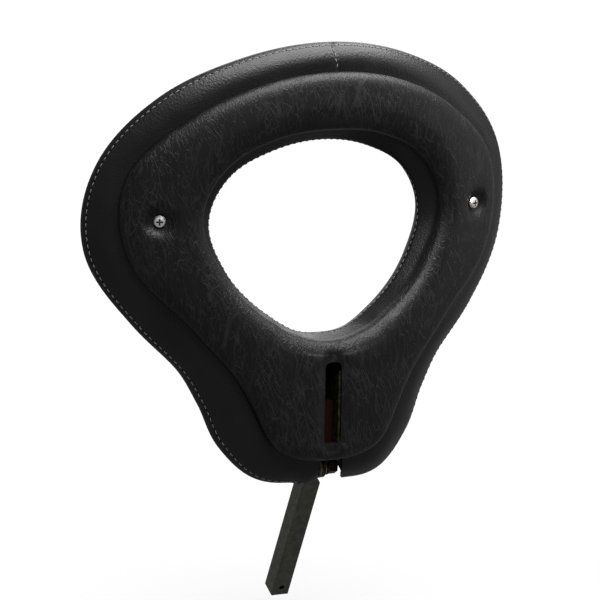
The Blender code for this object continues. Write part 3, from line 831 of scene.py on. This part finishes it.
def sew(name, path, normals, pitch, length, thickness, sink, skip=None, zigzag=0):
    """Stitches along a world path in metres: threads, with a bead of painted shade for the needle
    hole between each two.
    """
    gaps = np.linalg.norm(np.diff(path, axis=0), axis=1)
    along = np.concatenate([[0], np.cumsum(gaps)])
    count = int(along[-1] / pitch)
    thread, thread_faces = stitch_template(length, thickness, sink)
    hole, hole_faces = bead_template(NEEDLE_HOLE / 2, NEEDLE_HOLE / 4)
    verts, faces, kinds = [], [], []

    def place(template, template_faces, where, kind, side=0):
        spots = [np.array([np.interp(where + shift, along, path[:, axis]) for axis in range(3)])
                 for shift in (-pitch * 0.4, 0, pitch * 0.4)]
        if skip is not None and skip(spots[1]):
            return
        up = np.array([np.interp(where, along, normals[:, axis]) for axis in range(3)])
        forward = spots[2] - spots[0]
        forward /= np.linalg.norm(forward)
        up -= forward * up.dot(forward)
        up /= np.linalg.norm(up)
        across = np.cross(up, forward)
        middle = spots[1] + across * side
        start = len(verts)
        verts.extend(middle + forward * x + across * (y + side * x * 2 / length) + up * z
                     for x, y, z in template)
        faces.extend(tuple(start + i for i in face) for face in template_faces)
        kinds.extend([kind] * len(template_faces))

    for number in range(count):
        lean = zigzag if number % 2 else -zigzag
        place(thread, thread_faces, (number + 0.5) * pitch, 0, lean)
        place(hole, hole_faces, (number + 1) * pitch, 1)
    mesh = bpy.data.meshes.new(name)
    mesh.from_pydata([tuple(v) for v in verts], [], faces)
    obj = bpy.data.objects.new(name, mesh)
    bpy.context.scene.collection.objects.link(obj)
    mesh.materials.append(THREAD)
    mesh.materials.append(NEEDLE)
    mesh.polygons.foreach_set("material_index", kinds)
    outward(mesh)
    mesh.shade_smooth()
    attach(obj, "headrest")
    return obj


def surface_path(obj, flat_path, towards):
    """The nearest points on a piece to a path, and the surface's directions there."""
    points, directions = [], []
    for spot in to_world(flat_path):
        _, near, normal, _ = obj.closest_point_on_mesh(Vector(spot))
        normal = Vector(normal)
        if normal.dot(Vector(towards(spot))) < 0:
            normal = -normal
        points.append(near)
        directions.append(normal)
    return np.array(points), np.array(directions)


def ring_path(inner, outer, share, depth, shift=None, steps=720):
    """A path round the ring, at a share of the way between two outlines."""
    path = []
    for step in range(steps + 1):
        degrees = -90 + 360 * step / steps
        angle = math.radians(degrees)
        radius = radius_at(inner, degrees) * (1 - share) + radius_at(outer, degrees) * share
        moved = radius_at(shift, degrees) * share**2 if shift else 0
        path.append((radius * math.cos(angle), depth + moved, radius * math.sin(angle)))
    return np.array(path)


def outwards_and_rear(spot):
    out = Vector((spot[0] - ORIGIN[0], 0, spot[2] - ORIGIN[2])).normalized()
    return out + Vector((0, -1, 0))


def inwards(spot):
    return Vector((ORIGIN[0] - spot[0], 0, ORIGIN[2] - spot[2])).normalized()


def in_notch(spot):
    x = (spot[0] - ORIGIN[0]) / MM
    z = (spot[2] - ORIGIN[2]) / MM
    return z < NOTCH_TOP + 3 and -12 < x < BOXING_NOTCH_RIGHT + 2


def make_stitches(outer, inner):
    flat = ring_path(REAR_OUTER, FRONT_OUTER, 0.90, 15.2, SEAM_SHIFT)
    push_out(flat, lobe(flat))
    points, up = surface_path(outer, flat, outwards_and_rear)
    sew("outer_topstitch", points, up, 0.0046, 0.0032, 0.00030, 0.0004, in_notch)
    points, up = surface_path(inner, ring_path(REAR_INNER, HOLE, 0.98, 24.4), inwards)
    sew("inner_topstitch", points, up, 0.0044, 0.0030, 0.00030, 0.0004)
    band_low, band_high = radius_at(REAR_OUTER, 90), radius_at(FRONT_OUTER, 90)
    shares = np.linspace(0.10, 0.92, 40)
    flat = np.array([(JOINT_X + JOINT_LEAN * (1 - share), 10.2 + 5.5 * share**2,
                      band_low + (band_high - band_low) * share) for share in shares])
    points, up = surface_path(outer, flat, outwards_and_rear)
    sew("joint_stitch", points, up, 0.0036, 0.0028, 0.00032, 0.0004, zigzag=0.0003)


# ---------------------------------------------------------------- carried-over CAD nodes

def finish_cad_nodes():
    finishes = {"plywood": PLYWOOD, "foam": FOAM, "bar_steel": BAR_STEEL, "yellow_zinc": ZINC,
                "bright_steel": BRIGHT, "spring_steel": SPRING, "friction_fibre": FIBRE,
                "leatherette": LEATHERETTE, "grained_vinyl": VINYL}
    for entry in frame["record"]["subparts"]:
        mesh = frame["nodes"][entry["node"]].data
        mesh.materials.clear()
        mesh.materials.append(finishes[entry["material_slot"]])


# ---------------------------------------------------------------- studio

CAMERA_AZIMUTH = math.radians(25.5)
CAMERA_ELEVATION = math.radians(10.9)
CAMERA_ROLL = math.radians(-1.0)
CAMERA_DISTANCE = 2.2
CAMERA_LENS = 203
CAMERA_SIDE = 0.0239       # how far the view's centre lies left of the cushion's centre
CAMERA_DROP = 0.0100       # and below it


def make_camera():
    cos, sin = math.cos, math.sin
    a, e, roll = CAMERA_AZIMUTH, CAMERA_ELEVATION, CAMERA_ROLL
    right = Vector((cos(a), -sin(a), 0))
    ahead = Vector((sin(a) * cos(e), cos(a) * cos(e), -sin(e)))
    up = right.cross(ahead)
    right, up = right * cos(roll) - up * sin(roll), right * sin(roll) + up * cos(roll)
    place = ORIGIN - right * CAMERA_SIDE - up * CAMERA_DROP - ahead * CAMERA_DISTANCE
    data = bpy.data.cameras.new("camera")
    data.lens = CAMERA_LENS
    data.sensor_width = 36
    data.clip_end = 100
    camera = bpy.data.objects.new("camera", data)
    camera.matrix_world = Matrix((
        (right.x, up.x, -ahead.x, place.x),
        (right.y, up.y, -ahead.y, place.y),
        (right.z, up.z, -ahead.z, place.z),
        (0, 0, 0, 1)))
    bpy.context.scene.collection.objects.link(camera)
    bpy.context.scene.camera = camera


def add_softbox(name, direction, distance, size, radiance, lit):
    """A rectangular light aimed at the cushion, for a collection's objects only."""
    data = bpy.data.lights.new(name, "AREA")
    data.shape = "RECTANGLE"
    data.size, data.size_y = size
    data.energy = radiance * math.pi * size[0] * size[1]
    light = bpy.data.objects.new(name, data)
    towards = Vector(direction).normalized()
    light.location = ORIGIN + towards * distance
    light.rotation_euler = towards.to_track_quat("Z", "Y").to_euler()
    light.light_linking.receiver_collection = lit
    bpy.context.scene.collection.objects.link(light)


def make_floor():
    bm = bmesh.new()
    bmesh.ops.create_grid(bm, x_segments=2, y_segments=2, size=20)
    mesh = bpy.data.meshes.new("floor")
    bm.to_mesh(mesh)
    bm.free()
    floor = bpy.data.objects.new("floor", mesh)
    floor.location = (0, 0, -0.012)
    bpy.context.scene.collection.objects.link(floor)
    mat, _, shader = new_material("floor_white")
    shader.inputs["Base Color"].default_value = (0.9, 0.9, 0.9, 1)
    shader.inputs["Roughness"].default_value = 0.9
    shader.inputs["Specular IOR Level"].default_value = 0.1
    mesh.materials.append(mat)
    floor.visible_glossy = False
    return floor


def collection_of(name, objects):
    made = bpy.data.collections.new(name)
    for obj in objects:
        made.objects.link(obj)
    return made


def make_studio():
    scene = bpy.context.scene
    scene.view_settings.view_transform = "Standard"
    world = bpy.data.worlds.new("studio")
    scene.world = world
    world.use_nodes = True
    background = world.node_tree.nodes["Background"]
    background.inputs["Color"].default_value = (1, 1, 1, 1)
    background.inputs["Strength"].default_value = 0.35
    pieces = collection_of("lit_pieces", [obj for obj in bpy.data.objects if obj.type == "MESH"])
    floor = make_floor()
    ground = collection_of("lit_floor", [floor])

    wash = bpy.data.lights.new("floor_wash", "SUN")
    wash.energy = 2.6
    wash.angle = math.radians(120)
    light = bpy.data.objects.new("floor_wash", wash)
    light.light_linking.receiver_collection = ground
    light.light_linking.blocker_collection = ground
    scene.collection.objects.link(light)

    add_softbox("key", (0.18, -0.30, 0.94), 0.62, (1.0, 0.52), 16, pieces)
    add_softbox("right", (0.92, -0.28, 0.25), 1.0, (0.6, 0.9), 1.3, pieces)
    add_softbox("face", (0.4, 0.8, 0.5), 1.2, (1.0, 0.8), 2.5, pieces)


# ---------------------------------------------------------------- build

def remove_defaults():
    for obj in list(bpy.data.objects):
        if obj.name in ("Cube", "Light", "Camera"):
            bpy.data.objects.remove(obj, do_unlink=True)


remove_defaults()
finish_cad_nodes()
make_camera()
make_rear_pad()
outer_band = make_outer_band()
inner_band = make_inner_band()
make_face_pad()
bpy.context.view_layer.update()
make_stitches(outer_band, inner_band)
make_studio()
